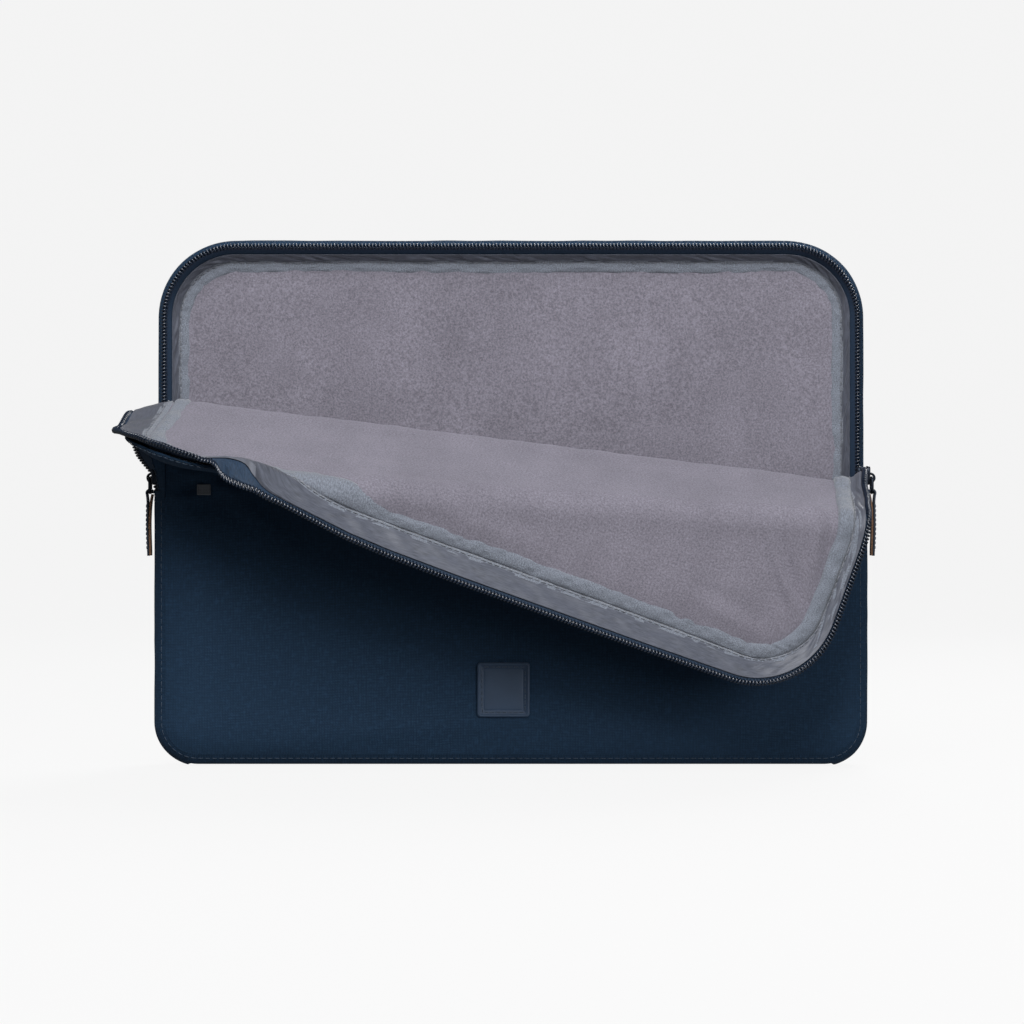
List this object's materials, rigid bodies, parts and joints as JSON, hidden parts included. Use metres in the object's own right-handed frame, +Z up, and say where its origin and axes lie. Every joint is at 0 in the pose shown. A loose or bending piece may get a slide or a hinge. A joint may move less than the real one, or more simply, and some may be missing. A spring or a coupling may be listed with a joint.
{
  "type": "laptop sleeve",
  "caption": "Padded laptop sleeve with a wrap-round zip, standing upright with its front flap folded down over the front and lined in microsuede.",
  "frame": {"origin": "middle of the flat base of the gusset band", "axes": "+X across the width to the right seen from the front, +Z up, the front faces -Y"},
  "size_m": [0.3513, 0.1329, 0.2504],
  "materials": {
    "navy_canvas": "woven polyester canvas, matt",
    "suede_lining": "brushed microsuede",
    "knit_binding": "ribbed knit binding tape",
    "grey_satin": "smooth woven lining",
    "zip_tape": "woven zip tape",
    "zip_coil": "semi-gloss nylon",
    "foam": "soft open-cell foam",
    "slider_metal": "dark painted zinc alloy",
    "navy_leather": "smooth coated leather",
    "tan_leather": "raw suede side",
    "rubber_patch": "matt moulded rubber",
    "woven_label": "fine woven label"
  },
  "bodies": {
    "sleeve_body": {"back_foam_pad": "foam", "back_lining": "suede_lining", "back_outer_panel": "navy_canvas", "back_seam_binding": "knit_binding", "back_zip_binding": "knit_binding", "back_zip_coil": "zip_coil", "back_zip_satin": "grey_satin", "back_zip_strip": "navy_canvas", "back_zip_tape": "zip_tape", "front_foam_pad": "foam", "front_lining": "suede_lining", "front_outer_panel": "navy_canvas", "front_seam_binding": "knit_binding", "front_zip_binding_left_end": "knit_binding", "front_zip_coil_left_end": "zip_coil", "front_zip_satin_left_end": "grey_satin", "front_zip_strip_left_end": "navy_canvas", "front_zip_tape_left_end": "zip_tape", "gusset_band": "navy_canvas", "gusset_lining": "grey_satin", "rubber_patch": "rubber_patch", "side_label": "woven_label", "zip_end_tab_left": "zip_tape", "zip_end_tab_right": "zip_tape"},
    "flap_lower": {"flap_1_foam_pad": "foam", "flap_1_lining": "suede_lining", "flap_1_outer_panel": "navy_canvas", "flap_1_zip_binding_left": "knit_binding", "flap_1_zip_binding_right": "knit_binding", "flap_1_zip_coil_left": "zip_coil", "flap_1_zip_coil_right": "zip_coil", "flap_1_zip_satin_left": "grey_satin", "flap_1_zip_satin_right": "grey_satin", "flap_1_zip_strip_left": "navy_canvas", "flap_1_zip_strip_right": "navy_canvas", "flap_1_zip_tape_left": "zip_tape", "flap_1_zip_tape_right": "zip_tape"},
    "flap_upper": {"flap_2_foam_pad": "foam", "flap_2_lining": "suede_lining", "flap_2_outer_panel": "navy_canvas", "flap_2_zip_binding": "knit_binding", "flap_2_zip_coil": "zip_coil", "flap_2_zip_satin": "grey_satin", "flap_2_zip_strip": "navy_canvas", "flap_2_zip_tape": "zip_tape"},
    "slider_right": {"slider_right": "slider_metal"},
    "ring_right": {"pull_ring_right": "slider_metal"},
    "puller_right": {"leather_tab_right": "navy_leather", "tab_backing_right": "tan_leather"},
    "slider_left": {"slider_left": "slider_metal"},
    "ring_left": {"pull_ring_left": "slider_metal"},
    "puller_left": {"leather_tab_left": "navy_leather", "tab_backing_left": "tan_leather"}
  },
  "joints": [
    {"name": "flap_fold", "type": "hinge", "parent": "sleeve_body", "child": "flap_lower", "pos_m": [-0.169, -0.017, 0.167], "axis": [0.9927, 0, -0.1204], "range_deg": [-110, 6]},
    {"name": "flap_curl", "type": "hinge", "parent": "flap_lower", "child": "flap_upper", "pos_m": [-0.18488, -0.10935, 0.13507], "axis": [0.9858, 0.1561, -0.0623], "range_deg": [-70.4, 3.84]},
    {"name": "slider_slide_right", "type": "slide", "parent": "sleeve_body", "child": "slider_right", "axis": [0, 0, -1], "range_m": [-0.068, 0]},
    {"name": "ring_swing_right", "type": "hinge", "parent": "slider_right", "child": "ring_right", "pos_m": [0.1724, 0, 0.1365], "axis": [0, -1, 0], "range_deg": [0, 130]},
    {"name": "tab_swing_right", "type": "hinge", "parent": "ring_right", "child": "puller_right", "pos_m": [0.1724, 0, 0.1291], "axis": [0, -1, 0], "range_deg": [0, 45]},
    {"name": "slider_slide_left", "type": "slide", "parent": "sleeve_body", "child": "slider_left", "axis": [0, 0, -1], "range_m": [-0.068, 0]},
    {"name": "ring_swing_left", "type": "hinge", "parent": "slider_left", "child": "ring_left", "pos_m": [-0.1724, 0, 0.1365], "axis": [0, 1, 0], "range_deg": [0, 130]},
    {"name": "tab_swing_left", "type": "hinge", "parent": "ring_left", "child": "puller_left", "pos_m": [-0.1724, 0, 0.1291], "axis": [0, 1, 0], "range_deg": [0, 45]}
  ],
  "couplings": [
    {"joint": "flap_curl", "follows": "flap_fold", "ratio": 0.64}
  ]
}
